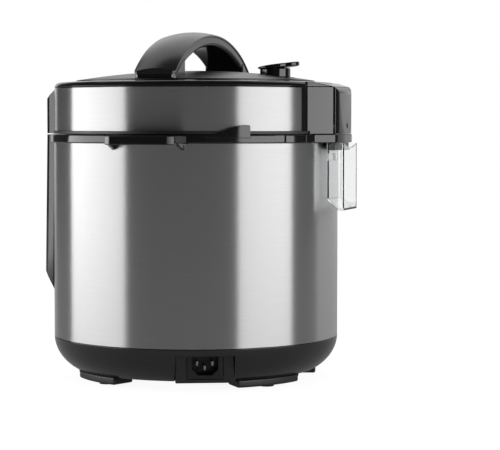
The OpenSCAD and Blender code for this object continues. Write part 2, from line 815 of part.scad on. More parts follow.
module display_glass() {
  color("#0a0b0d") on_panel() translate([-glass_half_w, 0, -glass_drop - glass_h])
    cube([2 * glass_half_w, glass_t, glass_h]);
}

module display_module() {
  inset = module_inset + slide_fit;
  color("#30343a") on_panel() translate([-module_half_w, glass_t, -glass_drop - glass_h + inset])
    cube([2 * module_half_w, board_y_in - glass_t, glass_h - 2 * inset]);
}

// Board behind the panel with one push switch behind each button
module control_board() {
  switch_h = 1.2;
  half_w = window_half_w - 1;
  color("#1f5c3a") on_panel() {
    translate([-half_w, board_y_in, -board_drop1 + 2])
      cube([2 * half_w, board_t, board_drop1 - board_drop0 - 4]);
    for (b = button_list) translate([b[0] - 3, board_y_in - switch_h, b[1] - 3]) cube([6, switch_h + eps, 6]);
  }
}

button_travel = 0.8;
button_stem_end = board_y_in - 1.2 - button_travel - 0.1;

// One push button with its stem, in the panel face's frame
module push_button(index) {
  b = button_list[index];
  edge = 0.4;
  cap_in = 2;
  color("#3c3e42") on_panel() translate([b[0], 0, b[1]]) rotate([-90, 0, 0]) {
    translate([0, 0, -button_proud + edge]) linear_extrude(cap_in + button_proud - edge)
      stadium(button_l, button_h);
    translate([0, 0, -button_proud]) linear_extrude(edge + eps)
      stadium(button_l - 2 * edge, button_h - 2 * edge);
    translate([0, 0, cap_in - eps]) cylinder(r = 2, h = button_stem_end - cap_in);
  }
}

module button_menu() { push_button(0); }
module button_keep_warm() { push_button(1); }
module button_minus() { push_button(2); }
module button_plus() { push_button(3); }
module button_delay() { push_button(4); }
module button_pressure() { push_button(5); }
module button_cancel() { push_button(6); }
module button_start() { push_button(7); }

// Heating chamber that hangs from the rim ledge
module heating_chamber() {
  hole_r = plate_r - 16;
  color("#9b9da0") difference() {
    lathe([[hole_r, chamber_z0], [chamber_out, chamber_z0], [chamber_out, ledge_z1],
      [ring_out_r, ledge_z1], [ring_out_r, chamber_z1], [chamber_in, chamber_z1],
      [chamber_in, chamber_z0 + liner_wall], [hole_r, chamber_z0 + liner_wall]]);
    translate([0, 0, chamber_z0 - 1]) cylinder(r = hole_r, h = far);
  }
}

// Ring with inward lugs that the lid lugs turn under
module locking_ring() {
  lug_drop = 0.4;
  color("#a9abae") {
    band(ring_bore_r, ring_out_r, chamber_z1, ring_z1);
    for (k = [0:lugs - 1]) let (az = lug_pitch * (k + 0.5))
      band_sector(ring_lug_r, ring_bore_r + 1, ring_z1 - lug_t, ring_z1 - lug_drop,
        az - ring_lug_span / 2, az + ring_lug_span / 2);
  }
}

// Inner pot with a rounded bottom corner and a flange on the chamber
module inner_pot() {
  flange_r = press_r + 4;
  in_r = pot_r - pot_wall;
  color("#55585c") lathe(concat([[0, pot_z0]],
    arc_points([pot_r - pot_corner, pot_z0 + pot_corner], pot_corner, -90, 0, 8),
    [[pot_r, chamber_z1], [flange_r, chamber_z1], [flange_r, pot_z1], [in_r, pot_z1]],
    arc_points([pot_r - pot_corner, pot_z0 + pot_corner], pot_corner - pot_wall, 0, -90, 8),
    [[0, pot_z0 + pot_wall]]));
}

sensor_r = 11;
plate_hole_r = sensor_r + 2;
module heating_plate() {
  hole = plate_hole_r;
  color("#a0a2a5") {
    lathe([[hole, plate_z0 + plate_slant], [plate_ring_r, plate_z0], [plate_r, plate_z0 + plate_slant],
      [plate_r, pot_z0 - 1],
      [plate_r - 1, pot_z0], [hole, pot_z0]]);
    for (k = [0:2]) at_azimuth(120 * k + 20)
      translate([0, -plate_r + plate_foot_inset, plate_z0 - plate_foot_h])
        cylinder(r = plate_foot_r, h = plate_foot_h + plate_slant + 2);
  }
}

// Tubular heater under the plate, with two cold ends pointing down
module heater_element() {
  tube_r = heater_tube_r;
  ring_r = heater_ring_r;
  z = heater_z;
  color("#6f7174") {
    rotate([0, 0, 20]) rotate_extrude(angle = 320) translate([ring_r, z]) circle(r = tube_r);
    for (a = [24, 336]) rotate([0, 0, a]) translate([ring_r, 0, z - heater_tail_h])
      cylinder(r = tube_r - 0.8, h = heater_tail_h);
  }
}
// Height of the slanted underside of the heating plate at a radius
plate_ring_inset = 30;
plate_ring_r = plate_r - plate_ring_inset;
plate_slant = 4;
function plate_under(r) = plate_z0 + plate_slant * (plate_ring_r - r) / (plate_ring_r - plate_hole_r);
heater_inset = 44;
heater_ring_r = plate_r - heater_inset;
heater_tail_h = 12;
heater_tube_r = 3.5;
heater_z = plate_under(heater_ring_r) - heater_tube_r - 0.1;

// Spring-loaded temperature sensor in the middle of the plate
sensor_z1 = pot_z0 - 0.3;
sensor_flange_r = sensor_r + 1;
sensor_flange_z = plate_z0 - 6;
spring_z0 = plate_z0 - 26;
strap_t = 1.5;
module sensor_cap() {
  color("#c2c4c6") {
    translate([0, 0, sensor_flange_z]) cylinder(r = sensor_r, h = sensor_z1 - sensor_flange_z);
    translate([0, 0, sensor_flange_z]) cylinder(r = sensor_flange_r, h = 2);
  }
}

module sensor_spring() {
  wire = 0.9;
  color("#b0b2b5") translate([0, 0, spring_z0 + 0.05])
    coil(sensor_r - 3, wire, sensor_flange_z - spring_z0 - 0.1, 5);
}

// Strap under the plate that carries the sensor spring
module sensor_bracket() {
  leg_x = 24;
  w = 16;
  leg_z1 = plate_under(leg_x + 4);
  color("#8d8f92") along_y(-w / 2, w / 2) polygon([
    [-leg_x, spring_z0 - strap_t], [leg_x, spring_z0 - strap_t], [leg_x, leg_z1], [leg_x - strap_t, leg_z1],
    [leg_x - strap_t, spring_z0], [-leg_x + strap_t, spring_z0], [-leg_x + strap_t, leg_z1],
    [-leg_x, leg_z1]]);
}

// Power board behind the inlet
board_lift = 12;
board_z0 = base_z0 + board_lift;
board_inset = 38;
board_y = board_inset - floor_r;
board_l = 76;
board_w = 48;
board_post_inset = 6;
board_post_x = board_l / 2 - board_post_inset;
board_post_y = board_w / 2 - board_post_inset;
relay = [22, 18, 12];
choke = [8, 16, 10];
capacitor_r = 8;
capacitor_h = 14;
module power_board() {
  color("#1f5c3a") at_azimuth(inlet_az) {
    translate([-board_l / 2, board_y - board_w / 2, board_z0]) cube([board_l, board_w, board_t]);
    translate([0, board_y, board_z0 + board_t - eps]) {
      translate([-relay[0] - choke[0], -relay[1] / 2]) cube(relay);
      translate([-choke[0] / 2, 0, 0]) cube(choke);
      translate([choke[0] + capacitor_r / 2, 0, 0]) cylinder(r = capacitor_r, h = capacitor_h);
    }
  }
}

// Lid frame: skirt, shoulder ring, inner shelf and the hollow tail in one moulding
module lid_frame() {
  round_r = 5;
  flat_r = skirt_r - 6;
  color("#101113") difference() {
    union() {
      lathe(concat([[skirt_r - skirt_t, band_z0], [skirt_r, band_z0], [skirt_r, band_top],
        [band_r, band_top]],
        arc_points([band_r - round_r, band_top], round_r, 0, 75, 8),
        [[shoulder_in_r, shoulder_z1], [shoulder_in_r, shelf_z1], [shelf_in_r, shelf_z1],
        [shelf_in_r, shelf_z0], [skirt_r - skirt_t, shelf_z0]]));
      intersection() {
        translate([0, 0, lip_z0]) linear_extrude(far) crowned_block(tail_half_w, tail_foot_y, body_r / 2);
        tail_side_form();
        difference() {
          translate([0, 0, lip_z0]) cylinder(r = far, h = far);
          translate([0, 0, lip_z0 - 1]) cylinder(r = skirt_r - skirt_t, h = far + 2);
        }
      }
      intersection() {
        translate([0, 0, band_top]) linear_extrude(far)
          tail_plan(tail_half_w, tail_foot_y, cheek_az, band_r, cheek_bulge);
        tail_side_form();
        difference() {
          translate([0, 0, band_z1]) cylinder(r = far, h = far);
          translate([0, 0, band_z1 - 1]) cylinder(r = flat_r, h = far);
        }
      }
    }
    tail_hollow();
    along_x(-far, far) translate([axis_y, axis_z]) circle(r = hinge_pin_r);
    translate([0, axis_y, tail_screw_z]) rotate([-90, 0, 0]) cylinder(r = tail_screw_r, h = far);
  }
}

// Side view of the tail: drafted rear face and a round shoulder
module tail_side_form() {
  r = 8.5;
  top_y = tail_y - 1.1;
  arc_z = band_z1 - 6;
  along_x(-far, far) polygon(concat(
    [[body_r / 2, lip_z0], [tail_foot_y, lip_z0], [top_y, arc_z]],
    arc_points([top_y - r, arc_z], r, 0, 72, 8),
    [[skirt_r - 6, shoulder_z1 - 1.5], [body_r / 2, shoulder_z1 - 1.5]]));
}

tail_screw_z = axis_z + 0.5;
tail_screw_r = 2.2;
tail_hollow_z1 = axis_z + 8;

// Space inside the tail for the hinge arms, open below and towards the vessel
module tail_hollow() {
  half_w = tail_half_w - tail_side;
  translate([-half_w, body_r / 2, lip_z0 - 1])
    cube([2 * half_w, tail_y - tail_wall - body_r / 2 - 0.6, tail_hollow_z1 - lip_z0 + 1]);
}

module lid_band() {
  in_r = skirt_r + glue_gap;
  trim = panel_half_w + slide_fit;
  color("#b9bbbd") difference() {
    rotate([0, 0, -band_end_az - 90]) rotate_extrude(angle = 2 * band_end_az)
      polygon([[in_r, band_z0], [band_r, band_z0], [band_r, band_z1], [in_r, band_z1]]);
    translate([-trim, -far, band_z0 - 1]) cube([2 * trim, far, band_h + 2]);
  }
}

// Lip under the band, cut round the hinge, the guide humps and the front trim
module lid_lip() {
  in_r = skirt_r - skirt_t - 2;
  lip_r = body_r;
  trim = panel_half_w + slide_fit;
  color("#1b1c1e") difference() {
    rotate([0, 0, -cheek_az - 90]) rotate_extrude(angle = 2 * cheek_az)
      polygon([[in_r, lip_z0], [lip_r, lip_z0], [lip_r, band_z0], [in_r, band_z0]]);
    difference() {
      translate([-trim, -far, lip_z0 - 1]) cube([2 * trim, far, lip_h + 2]);
      translate([0, 0, lip_z0 - 2]) cylinder(r = skirt_r - 1, h = lip_h + 4);
    }
  }
}

// Front trim of the lid, in line with the control panel
module lid_front_trim() {
  top_z = band_z1 - 1;
  chamfer_h = 8;
  chamfer_y = 9.5;
  color("#121315") difference() {
    intersection() {
      translate([0, -panel_y, lip_z0]) linear_extrude(far) panel_plan();
      along_x(-far, far) polygon([[0, lip_z0 + 0.2], [-far, lip_z0 + 0.2], [-far, top_z - chamfer_h],
        [-panel_y, top_z - chamfer_h], [-panel_y + chamfer_y, top_z], [0, top_z]]);
    }
    cylinder(r = skirt_r, h = far);
  }
}

// Glossy cheeks beside the tail, covering the ends of the hinge pin
module hinge_cheeks() {
  shadow_gap = 2;
  color("#151618") mirror_copy_x() difference() {
    intersection() {
      translate([0, 0, lip_z0]) linear_extrude(band_top - lip_z0)
        tail_plan(tail_half_w, tail_foot_y - shadow_gap, cheek_az, band_r, cheek_bulge);
      translate([tail_half_w, 0, 0]) cube(far);
    }
    cylinder(r = skirt_r, h = far);
    translate([0, 0, lip_z0 - 1]) cylinder(r = body_r, h = lip_h + 1);
  }
}

module hinge_pin() {
  half_l = tail_half_w - seat_gap;
  color("#c9cbcd") along_x(-half_l, half_l) translate([axis_y, axis_z]) circle(r = hinge_pin_r);
}

module tail_screw() {
  color("#7d8084") translate([0, tail_y - tail_wall, tail_screw_z]) rotate([-90, 0, 0])
    cylinder(r = tail_screw_r, h = 1);
}

// Dome with bosses for the retainer ring and posts that carry the pressure lid
boss_ring_r = dome_r - 17;
post_ring_r = press_flat_r - 29.5;
valve_recess_r = valve_d / 2 + 2;
valve_seat_z = dome_surface(valve_y) - 2.5;
retainer_z1 = shelf_z0 - seat_gap;
press_top_z = lid_lug_z0 + 18;
press_t = 2.5;
module dome_solid() {
  steps = 24;
  lathe(concat([[0, shelf_z1 + slide_fit], [dome_r, shelf_z1 + slide_fit]],
    [for (i = [0:steps]) let (r = dome_r * (1 - i / steps)) [r, dome_surface(r)]]));
}

module dome_cover() {
  steps = 16;
  in_r = dome_r - dome_wall;
  color("#3b3c3f") difference() {
    union() {
      difference() {
        dome_solid();
        lathe(concat([[0, shelf_z1 - 1], [in_r, shelf_z1 - 1]],
          [for (i = [0:steps]) let (r = in_r * (1 - i / steps)) [r, dome_surface(r) - dome_wall]]));
      }
      for (k = [0:5]) at_azimuth(60 * k + 30)
        translate([0, -boss_ring_r, retainer_z1])
          cylinder(r = 4, h = dome_surface(boss_ring_r) - dome_wall / 2 - retainer_z1);
      for (k = [0:3]) at_azimuth(90 * k + 45)
        translate([0, -post_ring_r, press_top_z])
          cylinder(r = 6, h = dome_surface(post_ring_r) - dome_wall / 2 - press_top_z);
      translate([0, valve_y, valve_seat_z - dome_wall]) cylinder(r = valve_recess_r + 2, h = dome_wall + 0.5);
    }
    translate([0, valve_y, valve_seat_z]) cylinder(r = valve_recess_r, h = far);
    translate([0, valve_y, 0]) cylinder(r = pipe_r + 1, h = far);
    translate([float_x, float_y, 0]) cylinder(r = float_r + 1, h = far);
    for (s = [-1, 1], t = [-1, 1]) translate([s * handle_screw_x, t * handle_screw_y, dome_z0 - 40])
      cylinder(r = screw_r + 0.1, h = far);
  }
}

// Arch of the top handle: sweeps a section with y across the strip and x as the radius
arch_z = dome_z0 + arch_h - arch_r;
module arch_sweep() {
  half = asin(arch_x / arch_r) + 3;
  translate([0, 0, arch_z]) rotate([90, 0, 0]) rotate([0, 0, 90 - half])
    rotate_extrude(angle = 2 * half, $fn = 360) children();
}

// Upright prism that trims the handle to its length, its corners cut more across than along
module handle_trim_form(half_w, chamfer) {
  cut = 0.74 * chamfer;
  translate([0, 0, dome_z0 - 10]) linear_extrude(far)
    polygon([[-arch_x, -half_w + chamfer], [-arch_x + cut, -half_w], [arch_x - cut, -half_w],
      [arch_x, -half_w + chamfer], [arch_x, half_w - chamfer], [arch_x - cut, half_w],
      [-arch_x + cut, half_w], [-arch_x, half_w - chamfer]]);
}

crown_r = (arch_half_w * arch_half_w + arch_crown * arch_crown) / (2 * arch_crown);
module handle_cover() {
  half = asin(arch_half_w / crown_r);
  color("#1e1f22") intersection() {
    arch_sweep() polygon(concat(
      arc_points([arch_r + arch_crown - crown_r, 0], crown_r, -half, half, 16),
      [[arch_r - cover_t, arch_half_w], [arch_r - cover_t, -arch_half_w]]));
    handle_trim_form(arch_half_w + 1, handle_chamfer);
  }
}

handle_chamfer = 4;
handle_screw_x = arch_x - foot_l / 2;
handle_screw_y = 9;
handle_screw_depth = 6;

// Core under the cover, with a foot block at each end
module handle_core() {
  inset = 0.8;
  edge = 4;
  r1 = arch_r - cover_t;
  r0 = r1 - core_t;
  w = arch_half_w - inset;
  color("#141517") difference() {
    intersection() {
      union() {
        arch_sweep()
          polygon(concat(arc_points([r0 + edge, -w + edge], edge, 180, 270, 6), [[r1, -w], [r1, w]],
            arc_points([r0 + edge, w - edge], edge, 90, 180, 6)));
        intersection() {
          mirror_copy_x() translate([arch_x - foot_l, -arch_half_w, dome_z0 - 4])
            cube([foot_l + 10, 2 * arch_half_w, far]);
          translate([0, far / 2, arch_z]) rotate([90, 0, 0])
            cylinder(r = r1 - core_t / 3, h = far, $fn = 360);
        }
      }
      handle_trim_form(arch_half_w, handle_chamfer);
    }
    dome_solid();
    difference() {
      translate([0, 0, dome_z0 - 20]) cylinder(r = far, h = 20 + slide_fit);
      translate([0, 0, dome_z0 - 21]) cylinder(r = dome_r, h = 23);
    }
    for (s = [-1, 1], t = [-1, 1]) translate([s * handle_screw_x, t * handle_screw_y, dome_z0 - 10])
      cylinder(r = screw_r, h = 10 + dome_surface(handle_screw_x) - dome_z0 + handle_screw_depth);
  }
}

module handle_screws() {
  z1 = dome_surface(handle_screw_x) + handle_screw_depth;
  z0 = dome_surface(norm([handle_screw_x + 3, handle_screw_y + 3])) - dome_wall - 0.4;
  head = 2;
  color("#8f9296") for (s = [-1, 1], t = [-1, 1]) translate([s * handle_screw_x, t * handle_screw_y, 0]) {
    translate([0, 0, z0]) cylinder(r = screw_r, h = z1 - z0 - 0.5);
    translate([0, 0, z0 - head]) cylinder(r = 2 * screw_r, h = head + eps);
  }
}

// Ring screwed under the dome bosses that keeps the twisting top in the lid frame
retainer_t = 2.5;
module retainer_ring() {
  color("#2a2b2e") band(boss_ring_r - 6, shelf_in_r + 6, retainer_z1 - retainer_t, retainer_z1);
}

// Stainless pressure lid: thick rim with outward lugs, and a raised middle
module pressure_lid() {
  rise_r = press_r - press_rim_w;
  flat_r = press_flat_r;
  color("#b4b6b9") difference() {
    union() {
      lathe([[0, press_top_z - press_t], [flat_r - 2, press_top_z - press_t], [rise_r - 3, lid_lug_z0],
        [press_r, lid_lug_z0], [press_r, lid_lug_z1], [rise_r, lid_lug_z1], [flat_r, press_top_z],
        [0, press_top_z]]);
      for (k = [0:lugs - 1]) let (az = lug_pitch * k)
        band_sector(press_r - 1, lid_lug_r, lid_lug_z0, lid_lug_z1,
          az - lid_lug_span / 2, az + lid_lug_span / 2);
    }
    translate([0, valve_y, 0]) cylinder(r = pipe_r, h = far);
    translate([float_x, float_y, 0]) cylinder(r = float_r + bore_fit, h = far);
  }
}

module lid_gasket() {
  z1 = lid_lug_z0;
  z0 = z1 - gasket_h;
  color("#d8d5cd") lathe([[press_r - 12, z1], [press_r - 1.5, z1], [press_r - 1.5, z0 + 1.4],
    [press_r - 3, z0], [press_r - 6, z0], [press_r - 8, z1 - 2], [press_r - 12, z1 - 2]]);
}

// Exhaust pipe from the pressure lid up into the valve weight
pipe_z0 = press_top_z - press_t - 2;
pipe_z1 = valve_seat_z + 6;
module exhaust_pipe() {
  color("#c2c4c6") translate([0, valve_y, 0]) difference() {
    union() {
      translate([0, 0, pipe_z0]) cylinder(r = pipe_r, h = pipe_z1 - pipe_z0);
      translate([0, 0, press_top_z]) cylinder(r = pipe_r + 3, h = 4);
    }
    translate([0, 0, pipe_z0 - 1]) cylinder(r = pipe_r - 2, h = far);
  }
}

// Slotted cap that keeps food out of the exhaust pipe
module filter_cap() {
  r = 9;
  h = 12;
  z1 = press_top_z - press_t;
  color("#a9abae") translate([0, valve_y, 0]) difference() {
    translate([0, 0, z1 - h]) cylinder(r = r, h = h);
    translate([0, 0, z1 - h + 1.2]) cylinder(r = r - 1.2, h = h);
    for (k = [0:7]) rotate([0, 0, 45 * k]) translate([0, -1, z1 - h + 3]) cube([r + 1, 2, h - 5]);
  }
}

// Valve cap: round stem with a thin lever that rises towards the rear
valve_z0 = valve_seat_z + seat_gap;
valve_z1 = valve_seat_z + valve_h;
weight_r = 8;
module valve_cap() {
  lever_t = 3.8;
  tip_rise = 6.5;
  lip = 2.2;
  r = valve_d / 2;
  color("#131416") translate([0, valve_y, 0]) difference() {
    union() {
      translate([0, 0, valve_z0]) cylinder(r = r, h = valve_z1 - valve_z0);
      intersection() {
        translate([0, 0, valve_z1 - 1]) linear_extrude(far) union() {
          circle(r = r + lip);
          translate([-10, 0]) square([20, lever_l - r - 10]);
          translate([0, lever_l - r - 10]) circle(r = 10);
        }
        along_x(-far, far) polygon([[-r - lip, valve_z1 - 0.5], [0, valve_z1 - 0.5],
          [lever_l - r + 1, valve_z1 + tip_rise - lever_t], [lever_l - r + 1, valve_z1 + tip_rise],
          [-r - lip, valve_z1 + 1]]);
      }
    }
    translate([0, 0, valve_z0 - 1]) cylinder(r = weight_r, h = valve_z1 - valve_z0 - 1);
  }
}

module valve_weight() {
  color("#9fa1a4") translate([0, valve_y, 0]) difference() {
    translate([0, 0, valve_z0]) cylinder(r = weight_r, h = valve_z1 - valve_z0 - 2);
    translate([0, 0, valve_z0 - 1]) cylinder(r = pipe_r + bore_fit, h = pipe_z1 - valve_z0 + 1 + slide_fit);
  }
}

// Float pin that rises through the dome under pressure
float_z0 = press_top_z - press_t - 7.5;
float_z1 = dome_surface(norm([float_x, float_y])) - 0.5;
module float_pin() {
  color("#c23a2e") translate([float_x, float_y, 0]) {
    translate([0, 0, float_z0]) cylinder(r = float_r, h = float_z1 - float_z0);
    translate([0, 0, press_top_z + 0.3]) cylinder(r = float_r + 2, h = 2);
  }
}

module float_seal() {
  z1 = press_top_z - press_t - float_rise - 0.3;
  color("#d8d5cd") translate([float_x, float_y, 0]) difference() {
    translate([0, 0, z1 - 1.2]) cylinder(r = float_r + 2.5, h = 1.2);
    cylinder(r = float_r, h = far);
  }
}

base_shell();
bottom_plate();
foot_blocks();
foot_pads();
base_screws();
outer_sleeve();
rim_ring();
carry_handle_right();
carry_handle_left();
hinge_base();
cup_plug();
inlet_housing();
inlet_socket();
inlet_pins();
panel_frame();
display_glass();
display_module();
control_board();
heating_chamber();
locking_ring();
inner_pot();
heating_plate();
heater_element();
sensor_bracket();
sensor_spring();
sensor_cap();
power_board();
lid_frame();
lid_band();
lid_lip();
lid_front_trim();
hinge_cheeks();
hinge_pin();
tail_screw();
dome_cover();
handle_cover();
handle_core();
handle_screws();
retainer_ring();
pressure_lid();
lid_gasket();
exhaust_pipe();
filter_cap();
valve_cap();
valve_weight();
float_pin();
float_seal();
drip_cup();
button_menu();
button_keep_warm();
button_minus();
button_plus();
button_delay();
button_pressure();
button_cancel();
button_start();
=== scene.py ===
"""Looks of the multicooker: camera, studio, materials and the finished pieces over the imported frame."""
import json
import math

import bmesh
import bpy
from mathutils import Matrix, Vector
from mathutils.bvhtree import BVHTree


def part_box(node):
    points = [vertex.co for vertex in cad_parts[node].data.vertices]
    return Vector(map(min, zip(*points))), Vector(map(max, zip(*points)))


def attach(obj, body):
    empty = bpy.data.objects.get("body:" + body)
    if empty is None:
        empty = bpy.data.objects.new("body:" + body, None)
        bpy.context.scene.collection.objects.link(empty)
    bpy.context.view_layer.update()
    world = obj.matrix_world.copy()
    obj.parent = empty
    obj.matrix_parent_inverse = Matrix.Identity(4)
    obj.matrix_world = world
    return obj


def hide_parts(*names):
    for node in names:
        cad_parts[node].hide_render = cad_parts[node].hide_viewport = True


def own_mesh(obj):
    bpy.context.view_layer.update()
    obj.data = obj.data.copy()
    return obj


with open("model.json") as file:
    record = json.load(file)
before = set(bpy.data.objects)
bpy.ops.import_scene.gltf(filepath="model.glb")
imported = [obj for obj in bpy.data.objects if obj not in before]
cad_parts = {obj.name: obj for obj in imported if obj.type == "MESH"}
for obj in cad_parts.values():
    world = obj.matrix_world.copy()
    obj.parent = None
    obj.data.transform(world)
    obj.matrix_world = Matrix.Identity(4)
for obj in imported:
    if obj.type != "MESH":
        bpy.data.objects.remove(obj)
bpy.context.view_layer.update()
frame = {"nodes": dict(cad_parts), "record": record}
NODES = frame["nodes"]
BODY_OF = {node: body for body, nodes in frame["record"]["behaviour"]["bodies"].items() for node in nodes}
SLOT_OF = {part["node"]: part["material_slot"] for part in frame["record"]["subparts"]}

MM = 0.001

# Camera of the photograph, placed round the vessel axis, in metres, degrees and pixels
PHOTO_W = 500
PHOTO_H = 450
FOCAL_PX = 1837.0
AXIS_PX = 196.0
HORIZON_PX = 124.0
SENSOR_MM = 36.0
CAMERA_DISTANCE = 1.78
CAMERA_AZIMUTH = 109.0
CAMERA_HEIGHT = 0.2435

# Lamps: the span of azimuths that each fills, in degrees from the front towards the right-hand side
LAMPS = {
    "softbox_right": (141, 188.5),
    "softbox_left": (-6, 53),
}
LAMP_DISTANCE = 1.6
LAMP_HEIGHT = 0.28
LAMP_TALL = 0.55
LAMP_RADIANCE = 4.35

# Cards that only reflections see, each with its first and last azimuth, bottom, top and level
CARD_RADIUS = 4.0
CARD_STEP = 3
CARD_BOTTOM = -0.5
CARD_TOP = 9.2
FRONT_SPLIT = 4.2
REAR_SPLIT = 1.6
ROOM_LEVEL = 0.05
ROOM_DARK_LEVEL = 0.005
ROOM_CAMERA_LEVEL = 0.02
BACKDROP_LEVEL = 0.75
BACKDROP_TOP_LEVEL = 1.05
CARDS = {
    "room_front": (-44, -18, CARD_BOTTOM, FRONT_SPLIT, ROOM_LEVEL),
    "backdrop_front": (-44, -18, FRONT_SPLIT, CARD_TOP, BACKDROP_TOP_LEVEL),
    "room_left": (-18, 53, CARD_BOTTOM, CARD_TOP, ROOM_LEVEL),
    "room_dark": (53, 84, CARD_BOTTOM, CARD_TOP, ROOM_DARK_LEVEL),
    "room_camera": (84, 141, CARD_BOTTOM, CARD_TOP, ROOM_CAMERA_LEVEL),
    "room_right": (141, 221, CARD_BOTTOM, CARD_TOP, ROOM_LEVEL),
    "backdrop": (221, 316, CARD_BOTTOM, REAR_SPLIT, BACKDROP_LEVEL),
    "backdrop_top": (221, 316, REAR_SPLIT, CARD_TOP, BACKDROP_TOP_LEVEL),
}
CEILING_LEVEL = 0.03
CEILING_SIDES = 48

# Surround and floor. The glow and its share go from the near value to 1 between the two distances.
AMBIENT = 0.20
FLOOR_RADIUS = 14.0
FLOOR_SIDES = 96
FLOOR_GREY = 0.80
FLOOR_ROUGHNESS = 0.9
FLOOR_NEAR = 0.35
FLOOR_FAR = 1.3
FLOOR_NEAR_GLOW = 1.50
FLOOR_NEAR_SHARE = 0.62
FLOOR_MIRRORED = 0.11


def polar(azimuth, radius, z=0.0):
    """Point at an azimuth in degrees from the front, turning towards the right-hand side."""
    a = math.radians(azimuth)
    return Vector((radius * math.sin(a), -radius * math.cos(a), z))


def link_object(name, data):
    """A new object in the scene."""
    obj = bpy.data.objects.new(name, data)
    bpy.context.scene.collection.objects.link(obj)
    return obj


def make_camera():
    """Camera turned so that the vessel axis and the horizon fall on their pixels."""
    data = bpy.data.cameras.new("camera")
    data.sensor_width = SENSOR_MM
    data.lens = FOCAL_PX / PHOTO_W * SENSOR_MM
    camera = link_object("camera", data)
    camera.location = polar(CAMERA_AZIMUTH, CAMERA_DISTANCE, CAMERA_HEIGHT)
    yaw = math.atan((PHOTO_W / 2 - AXIS_PX) / FOCAL_PX)
    pitch = math.atan((PHOTO_H / 2 - HORIZON_PX) / FOCAL_PX)
    heading = math.radians(CAMERA_AZIMUTH) - yaw
    camera.rotation_euler = (math.pi / 2 - pitch, 0, heading)
    bpy.context.scene.camera = camera


class Graph:
    """Short calls for building one node tree."""

    def __init__(self, tree):
        self.nodes = tree.nodes
        self.links = tree.links

    def add(self, kind, **settings):
        node = self.nodes.new(kind)
        for key, value in settings.items():
            setattr(node, key, value)
        return node

    def put(self, source, socket):
        """Links an output to a socket, or sets the socket to a plain value."""
        if isinstance(source, bpy.types.NodeSocket):
            self.links.new(source, socket)
        else:
            socket.default_value = source

    def math(self, operation, a, b, clamp=False):
        node = self.add("ShaderNodeMath", operation=operation, use_clamp=clamp)
        self.put(a, node.inputs[0])
        self.put(b, node.inputs[1])
        return node.outputs[0]

    def place(self):
        """Position in the part's own frame, in metres."""
        return self.add("ShaderNodeTexCoord").outputs["Object"]

    def axes(self):
        """Position in the part's own frame, split by axis."""
        split = self.add("ShaderNodeSeparateXYZ")
        self.put(self.place(), split.inputs[0])
        return split.outputs

    def vector(self, x, y):
        node = self.add("ShaderNodeCombineXYZ")
        self.put(x, node.inputs["X"])
        self.put(y, node.inputs["Y"])
        return node.outputs[0]

    def length(self, vector):
        node = self.add("ShaderNodeVectorMath", operation="LENGTH")
        self.put(vector, node.inputs[0])
        return node.outputs["Value"]

    def noise(self, vector, scale, detail=2.0, roughness=0.5):
        node = self.add("ShaderNodeTexNoise")
        self.put(vector, node.inputs["Vector"])
        node.inputs["Scale"].default_value = scale
        node.inputs["Detail"].default_value = detail
        node.inputs["Roughness"].default_value = roughness
        return node.outputs["Fac"]

    def span(self, value, low, high, start=0.3, end=0.7):
        """Maps a texture value from start..end to low..high."""
        node = self.add("ShaderNodeMapRange")
        self.put(value, node.inputs["Value"])
        node.inputs["From Min"].default_value = start
        node.inputs["From Max"].default_value = end
        node.inputs["To Min"].default_value = low
        node.inputs["To Max"].default_value = high
        return node.outputs["Result"]

    def tint(self, value, dark, light):
        """Colour between dark and light by a value from 0 to 1."""
        node = self.add("ShaderNodeMix", data_type="RGBA")
        self.put(value, node.inputs["Factor"])
        node.inputs["A"].default_value = (*dark, 1.0)
        node.inputs["B"].default_value = (*light, 1.0)
        return node.outputs["Result"]

    def bump(self, height, strength, distance):
        node = self.add("ShaderNodeBump")
        self.put(height, node.inputs["Height"])
        node.inputs["Strength"].default_value = strength
        node.inputs["Distance"].default_value = distance
        return node.outputs["Normal"]

    def seen(self, mirrored):
        """1 for what the camera or clear plastic sees, and a given weight for reflections."""
        path = self.add("ShaderNodeLightPath").outputs
        straight = self.math("MAXIMUM", path["Is Camera Ray"], path["Is Transmission Ray"])
        return self.math("MAXIMUM", straight, self.math("MULTIPLY", path["Is Glossy Ray"], mirrored))

    def mixed(self, share, first, second):
        """Shader between two others, by the share of the second."""
        node = self.add("ShaderNodeMixShader")
        self.put(share, node.inputs["Fac"])
        self.put(first, node.inputs[1])
        self.put(second, node.inputs[2])
        return node.outputs[0]


def new_material(name, metallic=0.0):
    """A new material, its graph and the sockets of its shader."""
    mat = bpy.data.materials.new(name)
    mat.use_nodes = True
    shader = mat.node_tree.nodes["Principled BSDF"]
    shader.inputs["Metallic"].default_value = metallic
    return mat, Graph(mat.node_tree), shader.inputs


def draw_out(graph, sockets, amount, rotation):
    """Draws highlights out along or across the lines round the vessel axis."""
    sockets["Anisotropic"].default_value = amount
    sockets["Anisotropic Rotation"].default_value = rotation
    tangent = graph.add("ShaderNodeTangent", direction_type="RADIAL", axis="Z")
    graph.put(tangent.outputs["Tangent"], sockets["Tangent"])


